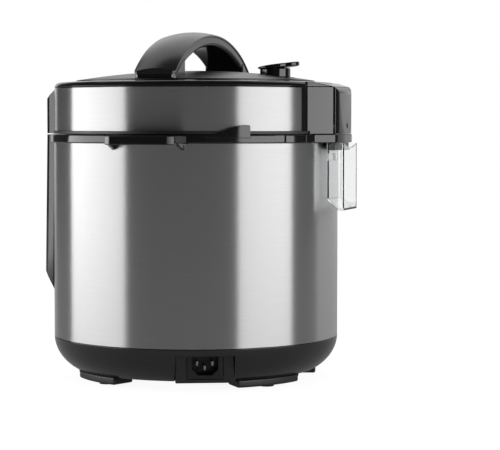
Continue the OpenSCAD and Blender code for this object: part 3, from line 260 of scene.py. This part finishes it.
def brushed_steel():
    """Steel sheet brushed round its circumference, so that reflections draw out upright."""
    lines_per_radian = 3.0
    lines_per_metre = 2600.0
    mat, graph, sockets = new_material("brushed_steel", metallic=1.0)
    axes = graph.axes()
    azimuth = graph.math("ARCTAN2", axes["X"], graph.math("MULTIPLY", axes["Y"], -1.0))
    across = graph.math("MULTIPLY", azimuth, lines_per_radian)
    up = graph.math("MULTIPLY", axes["Z"], lines_per_metre)
    grain = graph.noise(graph.vector(across, up), scale=1.0, detail=3.0, roughness=0.6)
    graph.put(graph.tint(grain, (0.42, 0.42, 0.425), (0.57, 0.57, 0.57)), sockets["Base Color"])
    graph.put(graph.span(grain, low=0.29, high=0.35), sockets["Roughness"])
    graph.put(graph.bump(grain, strength=0.03, distance=0.05 * MM), sockets["Normal"])
    draw_out(graph, sockets, amount=1.0, rotation=0.25)
    return mat


def moulded(name, dark, light, rough, grain_mm, grain_depth, wave=0.0):
    """Moulded plastic: faint cloud in the colour, a range of roughness and a skin grain."""
    mat, graph, sockets = new_material(name)
    place = graph.place()
    cloud = graph.noise(place, scale=25.0, detail=3.0)
    graph.put(graph.tint(cloud, dark, light), sockets["Base Color"])
    smear = graph.noise(place, scale=60.0, detail=4.0, roughness=0.6)
    graph.put(graph.span(smear, *rough), sockets["Roughness"])
    grain = graph.noise(place, scale=1.0 / (grain_mm * MM))
    if wave:
        sway = graph.noise(place, scale=35.0, detail=1.0)
        grain = graph.math("ADD", grain, graph.math("MULTIPLY", sway, wave))
    graph.put(graph.bump(grain, grain_depth, distance=0.2 * MM), sockets["Normal"])
    return mat


def metal(name, dark, light, rough, scale, bump=0.0):
    """Plain sheet or cast metal with a mottled surface."""
    mat, graph, sockets = new_material(name, metallic=1.0)
    cloud = graph.noise(graph.place(), scale, detail=5.0, roughness=0.6)
    graph.put(graph.tint(cloud, dark, light), sockets["Base Color"])
    graph.put(graph.span(cloud, *rough), sockets["Roughness"])
    if bump:
        graph.put(graph.bump(cloud, bump, distance=0.3 * MM), sockets["Normal"])
    return mat


def spun_metal(name, dark, light, rough, scale):
    """Metal spun or turned about the vessel axis: fine rings and a drawn-out highlight."""
    mat, graph, sockets = new_material(name, metallic=1.0)
    axes = graph.axes()
    radius = graph.length(graph.vector(axes["X"], axes["Y"]))
    grain = graph.noise(graph.vector(radius, axes["Z"]), scale, detail=3.0, roughness=0.6)
    graph.put(graph.tint(grain, dark, light), sockets["Base Color"])
    graph.put(graph.span(grain, *rough), sockets["Roughness"])
    graph.put(graph.bump(grain, strength=0.05, distance=0.1 * MM), sockets["Normal"])
    draw_out(graph, sockets, amount=0.6, rotation=0.0)
    return mat


def speckled_coating():
    """Dark non-stick coating with fine pale flecks."""
    mat, graph, sockets = new_material("pot_coating")
    place = graph.place()
    flecks = graph.span(graph.noise(place, scale=900.0), low=0.0, high=1.0, start=0.62, end=0.70)
    cloud = graph.noise(place, scale=30.0, detail=3.0)
    shade = graph.math("ADD", flecks, graph.math("MULTIPLY", cloud, 0.1), clamp=True)
    graph.put(graph.tint(shade, (0.025, 0.025, 0.027), (0.22, 0.22, 0.22)), sockets["Base Color"])
    graph.put(graph.span(cloud, low=0.30, high=0.42), sockets["Roughness"])
    skin = graph.noise(place, scale=1200.0)
    graph.put(graph.bump(skin, strength=0.15, distance=0.1 * MM), sockets["Normal"])
    return mat


def circuit_board():
    """Board with a green mask over copper tracks."""
    mat, graph, sockets = new_material("circuit_board")
    place = graph.place()
    tracks = graph.add("ShaderNodeTexVoronoi", feature="DISTANCE_TO_EDGE", distance="MANHATTAN")
    graph.put(place, tracks.inputs["Vector"])
    tracks.inputs["Scale"].default_value = 180.0
    line = graph.span(tracks.outputs["Distance"], low=1.0, high=0.0, start=0.04, end=0.06)
    graph.put(graph.tint(line, (0.005, 0.07, 0.03), (0.02, 0.16, 0.07)), sockets["Base Color"])
    graph.put(graph.span(graph.noise(place, scale=300.0), low=0.30, high=0.45), sockets["Roughness"])
    graph.put(graph.bump(line, strength=0.3, distance=0.1 * MM), sockets["Normal"])
    return mat


def clear_plastic():
    """Clear moulded plastic with slight flow waviness."""
    mat, graph, sockets = new_material("clear_plastic")
    sockets["Base Color"].default_value = (0.965, 0.975, 0.975, 1.0)
    sockets["Transmission Weight"].default_value = 1.0
    sockets["IOR"].default_value = 1.49
    place = graph.place()
    graph.put(graph.span(graph.noise(place, scale=80.0), low=0.0, high=0.05), sockets["Roughness"])
    flow = graph.noise(place, scale=45.0, detail=1.0)
    graph.put(graph.bump(flow, strength=0.05, distance=1 * MM), sockets["Normal"])
    return mat


def dark_glass():
    """Black display window with a smooth face and faint smears."""
    mat, graph, sockets = new_material("display_glass")
    smear = graph.noise(graph.place(), scale=50.0, detail=4.0, roughness=0.6)
    graph.put(graph.tint(smear, (0.003, 0.003, 0.004), (0.008, 0.008, 0.010)), sockets["Base Color"])
    graph.put(graph.span(smear, low=0.02, high=0.09), sockets["Roughness"])
    sockets["IOR"].default_value = 1.52
    return mat


def silicone():
    """Milky silicone rubber."""
    mat, graph, sockets = new_material("silicone")
    place = graph.place()
    cloud = graph.noise(place, scale=40.0, detail=3.0)
    graph.put(graph.tint(cloud, (0.62, 0.62, 0.60), (0.72, 0.72, 0.70)), sockets["Base Color"])
    graph.put(graph.span(cloud, low=0.40, high=0.55), sockets["Roughness"])
    skin = graph.noise(place, scale=1500.0)
    graph.put(graph.bump(skin, strength=0.1, distance=0.1 * MM), sockets["Normal"])
    return mat


# Plastics: dark and light colour, range of roughness, grain in millimetres, its depth and any waviness
PLASTICS = {
    "gloss_black": ((0.008, 0.008, 0.009), (0.013, 0.013, 0.014), (0.07, 0.13), 1.2, 0.015, 4.0),
    "satin_black": ((0.014, 0.014, 0.015), (0.022, 0.022, 0.023), (0.36, 0.46), 0.5, 0.16),
    "handle_black": ((0.010, 0.010, 0.011), (0.016, 0.016, 0.017), (0.20, 0.25), 0.45, 0.03),
    "dome_black": ((0.016, 0.016, 0.017), (0.024, 0.024, 0.025), (0.28, 0.34), 0.45, 0.04),
    "base_black": ((0.012, 0.012, 0.013), (0.018, 0.018, 0.019), (0.15, 0.21), 0.5, 0.04),
    "rubber": ((0.010, 0.010, 0.010), (0.022, 0.022, 0.022), (0.70, 0.85), 0.6, 0.35),
    "inlet_plastic": ((0.006, 0.006, 0.006), (0.012, 0.012, 0.012), (0.34, 0.44), 0.4, 0.10),
    "dark_module": ((0.010, 0.010, 0.012), (0.020, 0.020, 0.022), (0.40, 0.55), 0.6, 0.10),
    "key_grey": ((0.16, 0.16, 0.165), (0.20, 0.20, 0.205), (0.32, 0.42), 0.4, 0.10),
    "mark_white": ((0.68, 0.68, 0.68), (0.76, 0.76, 0.76), (0.40, 0.50), 0.4, 0.05),
    "float_red": ((0.42, 0.012, 0.010), (0.52, 0.018, 0.014), (0.30, 0.40), 0.5, 0.06),
}
# Metals: dark and light colour, range of roughness, scale of the mottling or the rings, and any depth
METALS = {
    "bottom_metal": ((0.42, 0.42, 0.43), (0.62, 0.62, 0.63), (0.36, 0.52), 55.0, 0.05),
    "screw_steel": ((0.46, 0.46, 0.46), (0.64, 0.64, 0.63), (0.22, 0.34), 300.0),
    # inlet_metal is darker than bare plated pins: part of its darkness is painted shade for the shade that
    # falls on the pins in the inlet's recess
    "inlet_metal": ((0.30, 0.29, 0.27), (0.42, 0.40, 0.37), (0.24, 0.36), 400.0),
    "heater_metal": ((0.30, 0.28, 0.26), (0.46, 0.44, 0.42), (0.40, 0.60), 120.0, 0.08),
}
SPUN_METALS = {
    "chamber_metal": ((0.48, 0.48, 0.49), (0.64, 0.64, 0.65), (0.32, 0.44), 700.0),
    "stainless": ((0.54, 0.54, 0.54), (0.70, 0.70, 0.69), (0.18, 0.28), 900.0),
}


def make_materials():
    """Materials by name: one for each slot of the record, three more blacks and the print of the signs."""
    made = {
        "brushed_steel": brushed_steel(),
        "pot_coating": speckled_coating(),
        "circuit_board": circuit_board(),
        "clear_plastic": clear_plastic(),
        "display_glass": dark_glass(),
        "silicone": silicone(),
    }
    for name, look in PLASTICS.items():
        made[name] = moulded(name, *look)
    for name, look in METALS.items():
        made[name] = metal(name, *look)
    for name, look in SPUN_METALS.items():
        made[name] = spun_metal(name, *look)
    return made


# Finish of single nodes, where it isn't the one of their slot
FINISH = {
    "handle_cover": "handle_black",
    "handle_core": "gloss_black",
    "dome_cover": "dome_black",
    "base_shell": "base_black",
    "inlet_housing": "base_black",
}

# Rounded edges: the usual width in millimetres, and the nodes that have another
EDGE_USUAL_MM = 0.25
EDGE_MM = {
    "carry_handle_right": 0.8,
    "carry_handle_left": 0.8,
    "handle_cover": 0.4,
    "handle_core": 0.4,
    "base_shell": 0.8,
    "foot_blocks": 1.8,
    "foot_pads": 0.6,
    "panel_frame": 0.3,
    "lid_front_trim": 0.3,
    "hinge_base": 0.8,
    "lid_frame": 0.6,
    "inlet_housing": 0.5,
    "drip_cup": 0.5,
    "valve_cap": 0.9,
}
EDGE_STEPS = 3
EDGE_ANGLE = math.radians(28)
NARROW_ANGLE = math.radians(30)
SMOOTH_ANGLE = math.radians(40)
FLAT_ANGLE = math.radians(0.3)
WELD = 1e-6

# Ends of the top handle: the stretch that falls, how far, and where above the lid that starts
BENT_NODES = ("handle_cover", "handle_core")
END_LENGTH = 40 * MM
END_DROP = 3.2 * MM
END_BLEND = 6 * MM
END_CLEAR = 2 * MM

# Cut corners of the top handle's ends and of the carry handles: how far their outer edges move
GRIP_NODES = ("carry_handle_right", "carry_handle_left")
END_SHIFT = 0.35 * MM
GRIP_SHIFT = 0.63 * MM
CORNER_MIN = 15 * MM

# Azimuths from the front where the foot blocks end
FRONT_FOOT_END = math.radians(68)
REAR_FOOT_END = math.radians(165)

# Cut corners at the sides of the panel and of the lid's trim: their two edges, and how far each one moves
PANEL_NODES = ("panel_frame", "lid_front_trim")
CUT_FRONT_X = 38.0 * MM
CUT_SIDE_X = 39.8 * MM
CUT_SIDE_Y = -138.4 * MM
CUT_DEPTH = 1.6 * MM
CUT_SLACK = 0.1 * MM
CUT_IN = 1.5 * MM
CUT_BACK = 2.6 * MM
ALONG_SLACK = 0.01

# Slopes that the moved edges follow: the panel's sides, its low end and the top of the lid's trim
SIDE_DRAFT = 2.2 / 8.4
PANEL_LOW_Z = 105 * MM
PANEL_LOW_SLOPE = 1.83
TRIM_TOP_Z = 260 * MM
TRIM_TOP_SLOPE = 8 / 9.5


def clean_solid(node):
    """The node's solid with its split points welded and its flat faces whole again."""
    work = bmesh.new()
    work.from_mesh(NODES[node].data)
    bmesh.ops.remove_doubles(work, verts=work.verts, dist=WELD)
    bmesh.ops.dissolve_limit(work, angle_limit=FLAT_ANGLE, verts=work.verts, edges=work.edges)
    return work


def hard_edges(work):
    """Edges to round, without those that meet in a narrow point, where a rounding runs out in a spike."""
    hard = [e for e in work.edges if e.is_manifold and e.calc_face_angle() > EDGE_ANGLE]
    chosen = set(hard)
    narrow = set()
    for face in work.faces:
        for corner in face.loops:
            pair = {corner.edge, corner.link_loop_prev.edge}
            if corner.calc_angle() < NARROW_ANGLE and pair <= chosen:
                narrow |= pair
    return [e for e in hard if e not in narrow]


def round_edges(work, width):
    """Rounds the hard edges. A point that strays from the solid goes back to its surface."""
    surface = BVHTree.FromBMesh(work)
    bmesh.ops.bevel(work, geom=hard_edges(work), offset=width, offset_type="OFFSET", segments=EDGE_STEPS,
                    profile=0.5, affect="EDGES", clamp_overlap=False)
    for vert in work.verts:
        nearest, _, _, gap = surface.find_nearest(vert.co)
        if gap > width:
            vert.co = nearest


def turn_corners(work, face_x, shift):
    """Turns the cut corners beside an end face a few degrees outwards."""
    for vert in work.verts:
        if abs(vert.co.x) > face_x - WELD and abs(vert.co.y) > CORNER_MIN:
            vert.co.y += math.copysign(shift, vert.co.y)


def bend_handle_ends(work):
    """Lets the last stretch of the handle strip fall to the low front edge of its feet."""
    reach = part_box("handle_cover")[1][0]
    foot_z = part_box("lid_frame")[1][2] + END_CLEAR
    for vert in work.verts:
        out = min(max((abs(vert.co.x) - reach + END_LENGTH) / END_LENGTH, 0.0), 1.0)
        up = min(max((vert.co.z - foot_z) / END_BLEND, 0.0), 1.0)
        vert.co.z -= END_DROP * out * out * up


def shorten_feet(work):
    """Draws the rear end of each foot block in along its arc."""
    for vert in work.verts:
        side = math.copysign(1.0, vert.co.x)
        azimuth = math.atan2(abs(vert.co.x), -vert.co.y)
        last = FRONT_FOOT_END if azimuth < math.pi / 2 else REAR_FOOT_END
        if azimuth > last:
            radius = vert.co.xy.length
            vert.co.x = side * radius * math.sin(last)
            vert.co.y = -radius * math.cos(last)
    bmesh.ops.remove_doubles(work, verts=work.verts, dist=WELD)
    bmesh.ops.dissolve_degenerate(work, edges=work.edges, dist=WELD)


def widen_panel_corners(work):
    """Widens the cut corners between the front and the sides of the panel and of the trim above it."""
    for vert in work.verts:
        x = abs(vert.co.x)
        along = (x - CUT_FRONT_X) / (CUT_SIDE_X - CUT_FRONT_X)
        cut_y = CUT_SIDE_Y - CUT_DEPTH * (1 - along)
        beside = along < -ALONG_SLACK or along > 1 + ALONG_SLACK
        if beside or vert.co.y > cut_y + CUT_SLACK:
            continue
        radius = vert.co.xy.length
        x += CUT_BACK * SIDE_DRAFT * along - CUT_IN * (1 - along)
        vert.co.x = math.copysign(x, vert.co.x)
        vert.co.y += CUT_BACK * along
        if vert.co.z < PANEL_LOW_Z:
            vert.co.z += PANEL_LOW_SLOPE * (vert.co.xy.length - radius)
        elif vert.co.z > TRIM_TOP_Z:
            vert.co.z += TRIM_TOP_SLOPE * CUT_BACK * along


def reshape(node, work):
    """Gives a node the small shapes that its solid doesn't have."""
    if node in BENT_NODES:
        bend_handle_ends(work)
        turn_corners(work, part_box(node)[1][0], END_SHIFT)
    elif node in GRIP_NODES:
        turn_corners(work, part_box("carry_handle_right")[1][0], GRIP_SHIFT)
    elif node in PANEL_NODES:
        widen_panel_corners(work)
    elif node == "foot_blocks":
        shorten_feet(work)


def plain_mesh(name, work):
    """Mesh of a solid without any normals or layers that came with it."""
    work.verts.index_update()
    points = [v.co.copy() for v in work.verts]
    faces = [[v.index for v in f.verts] for f in work.faces]
    work.free()
    mesh = bpy.data.meshes.new(name)
    mesh.from_pydata(points, [], faces)
    mesh.shade_smooth()
    mesh.set_sharp_from_angle(angle=SMOOTH_ANGLE)
    return mesh


def dressed(node, mat):
    """Finished copy of a node, with rounded edges and flat faces that stay flat, seated in its place."""
    work = clean_solid(node)
    reshape(node, work)
    round_edges(work, EDGE_MM.get(node, EDGE_USUAL_MM) * MM)
    obj = link_object(node + "_finished", plain_mesh(node, work))
    weights = obj.modifiers.new("normals", "WEIGHTED_NORMAL")
    weights.keep_sharp = True
    obj.data.materials.append(mat)
    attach(obj, BODY_OF[node])
    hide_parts(node)
    return obj


def press_spring(piece):
    """Gives the sensor spring a mesh of its own."""
    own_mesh(piece)


# Plain signs printed on the buttons, in millimetres across and up from the middle of each button
SIGN_LIFT = 0.12 * MM
SIGN_DEPTH = 0.4 * MM
STROKE = 0.8
FACING_FRONT = -0.9


def bar(x, y, w, h):
    """Upright rectangle round a point."""
    return [(x - w / 2, y - h / 2), (x + w / 2, y - h / 2), (x + w / 2, y + h / 2), (x - w / 2, y + h / 2)]


def arc(r, start, end, steps=10):
    """Stroke along part of a circle round the middle."""
    turns = [math.radians(start + (end - start) * i / steps) for i in range(steps + 1)]
    outside = [((r + STROKE / 2) * math.cos(t), (r + STROKE / 2) * math.sin(t)) for t in turns]
    inside = [((r - STROKE / 2) * math.cos(t), (r - STROKE / 2) * math.sin(t)) for t in reversed(turns)]
    return outside + inside


def wave(x, h, sway, steps=10):
    """Upright wavy stroke."""
    line = [(x + sway * math.sin(2 * math.pi * i / steps), h * (i / steps - 0.5)) for i in range(steps + 1)]
    right = [(u + STROKE / 2, v) for u, v in line]
    left = [(u - STROKE / 2, v) for u, v in reversed(line)]
    return right + left


SIGNS = {
    "button_menu": [bar(0, v, 4.4, STROKE) for v in (-1.6, 0, 1.6)],
    "button_keep_warm": [wave(u, 4.0, 0.45) for u in (-1.8, 0, 1.8)],
    "button_minus": [bar(0, 0, 4.2, STROKE)],
    "button_plus": [bar(0, 0, 4.2, STROKE), bar(0, 1.25, STROKE, 1.7), bar(0, -1.25, STROKE, 1.7)],
    "button_delay": [
        arc(2.1, 0, 180), arc(2.1, 180, 360), bar(0, 0.55, STROKE, 1.5), bar(0.8, -0.2, 0.8, STROKE)],
    "button_pressure": [arc(2.1, -30, 210, steps=14), bar(0, 0.3, STROKE, 2.4)],
    "button_cancel": [bar(0, 0, 3.4, 3.4)],
    "button_start": [[(-1.5, -2.0), (2.2, 0), (-1.5, 2.0)]],
}


def face_of(node):
    """Middle and outward direction of the flat front face of a button."""
    work = clean_solid(node)
    front = max((f for f in work.faces if f.normal.y < FACING_FRONT), key=lambda f: f.calc_area())
    middle = front.calc_center_bounds()
    normal = front.normal.copy()
    work.free()
    return middle, normal


def printed_sign(node, outlines, mat):
    """Thin raised print on the front face of a button."""
    middle, normal = face_of(node)
    up = (Vector((0, 0, 1)) - normal * normal.z).normalized()
    right = up.cross(normal)
    work = bmesh.new()
    for outline in outlines:
        spots = [middle + (right * u + up * v) * MM + normal * SIGN_LIFT for u, v in outline]
        top = work.faces.new([work.verts.new(spot) for spot in spots])
        grown = bmesh.ops.extrude_face_region(work, geom=[top])["geom"]
        sunk = [item for item in grown if isinstance(item, bmesh.types.BMVert)]
        bmesh.ops.translate(work, verts=sunk, vec=normal * -SIGN_DEPTH)
    bmesh.ops.recalc_face_normals(work, faces=work.faces)
    sign = link_object(node + "_sign", plain_mesh(node + "_sign", work))
    sign.data.materials.append(mat)
    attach(sign, BODY_OF[node])


def softbox(name, span):
    """Upright area lamp that fills a span of azimuths as seen from the vessel."""
    half = math.radians(span[1] - span[0]) / 2
    data = bpy.data.lights.new(name, "AREA")
    data.shape = "RECTANGLE"
    data.size = 2 * LAMP_DISTANCE * math.tan(half)
    data.size_y = LAMP_TALL
    data.energy = LAMP_RADIANCE * math.pi * data.size * data.size_y
    lamp = link_object(name, data)
    lamp.location = polar(sum(span) / 2, LAMP_DISTANCE, LAMP_HEIGHT)
    aim = Vector((0, 0, LAMP_HEIGHT)) - lamp.location
    lamp.rotation_euler = aim.to_track_quat("-Z", "Y").to_euler()
    lamp.visible_camera = False


def make_world():
    """White for the camera, reflections and clear plastic, and a grey fill for the rest."""
    world = bpy.data.worlds.new("studio")
    bpy.context.scene.world = world
    world.use_nodes = True
    graph = Graph(world.node_tree)
    fill = graph.nodes["Background"]
    fill.inputs["Color"].default_value = (AMBIENT, AMBIENT, AMBIENT, 1)
    white = graph.add("ShaderNodeBackground")
    white.inputs["Color"].default_value = (1, 1, 1, 1)
    surface = graph.mixed(graph.seen(mirrored=1.0), fill.outputs[0], white.outputs[0])
    graph.put(surface, graph.nodes["World Output"].inputs["Surface"])


def reflection_only(name, points, faces, level):
    """Glowing sheet that only reflections see."""
    mesh = bpy.data.meshes.new(name)
    mesh.from_pydata(points, [], faces)
    card = link_object(name, mesh)
    mat = bpy.data.materials.new(name)
    mat.use_nodes = True
    graph = Graph(mat.node_tree)
    graph.nodes.remove(graph.nodes["Principled BSDF"])
    glow = graph.add("ShaderNodeEmission")
    glow.inputs["Color"].default_value = (level, level, level, 1)
    graph.put(glow.outputs[0], graph.nodes["Material Output"].inputs["Surface"])
    mesh.materials.append(mat)
    card.visible_camera = False
    card.visible_diffuse = False
    card.visible_transmission = False
    card.visible_shadow = False


def make_card(name, az0, az1, z0, z1, level):
    """Part of a cylinder round the set."""
    steps = round((az1 - az0) / CARD_STEP)
    points = []
    faces = []
    for i in range(steps + 1):
        az = az0 + (az1 - az0) * i / steps
        points += [polar(az, CARD_RADIUS, z0), polar(az, CARD_RADIUS, z1)]
        if i:
            faces.append((2 * i - 2, 2 * i, 2 * i + 1, 2 * i - 1))
    reflection_only(name, points, faces, level)


def make_ceiling():
    """Round sheet on top of the cards."""
    points = [polar(360 * i / CEILING_SIDES, CARD_RADIUS, CARD_TOP) for i in range(CEILING_SIDES)]
    reflection_only("ceiling", points, [range(CEILING_SIDES)], CEILING_LEVEL)


def make_floor():
    """Pale floor that turns into the white surround away from the cooker."""
    bpy.ops.mesh.primitive_circle_add(vertices=FLOOR_SIDES, radius=FLOOR_RADIUS, fill_type="NGON")
    floor = bpy.context.object
    floor.name = "floor"
    mat, graph, sockets = new_material("floor")
    sockets["Base Color"].default_value = (FLOOR_GREY, FLOOR_GREY, FLOOR_GREY, 1)
    sockets["Roughness"].default_value = FLOOR_ROUGHNESS
    away = graph.span(graph.length(graph.place()), low=0.0, high=1.0, start=FLOOR_NEAR, end=FLOOR_FAR)
    glow = graph.add("ShaderNodeEmission")
    strength = graph.span(away, low=FLOOR_NEAR_GLOW, high=1.0, start=0.0, end=1.0)
    graph.put(strength, glow.inputs["Strength"])
    part = graph.span(away, low=FLOOR_NEAR_SHARE, high=1.0, start=0.0, end=1.0)
    share = graph.math("MULTIPLY", graph.seen(FLOOR_MIRRORED), part)
    surface = graph.mixed(share, graph.nodes["Principled BSDF"].outputs[0], glow.outputs[0])
    graph.put(surface, graph.nodes["Material Output"].inputs["Surface"])
    floor.data.materials.append(mat)


make_camera()
bpy.context.scene.view_settings.view_transform = "Standard"
make_world()
make_floor()
for name, span in LAMPS.items():
    softbox(name, span)
for name, card in CARDS.items():
    make_card(name, *card)
make_ceiling()

MATERIALS = make_materials()
for node in NODES:
    finished = dressed(node, MATERIALS[FINISH.get(node, SLOT_OF[node])])
    if node == "sensor_spring":
        press_spring(finished)
for node, outlines in SIGNS.items():
    printed_sign(node, outlines, MATERIALS["mark_white"])
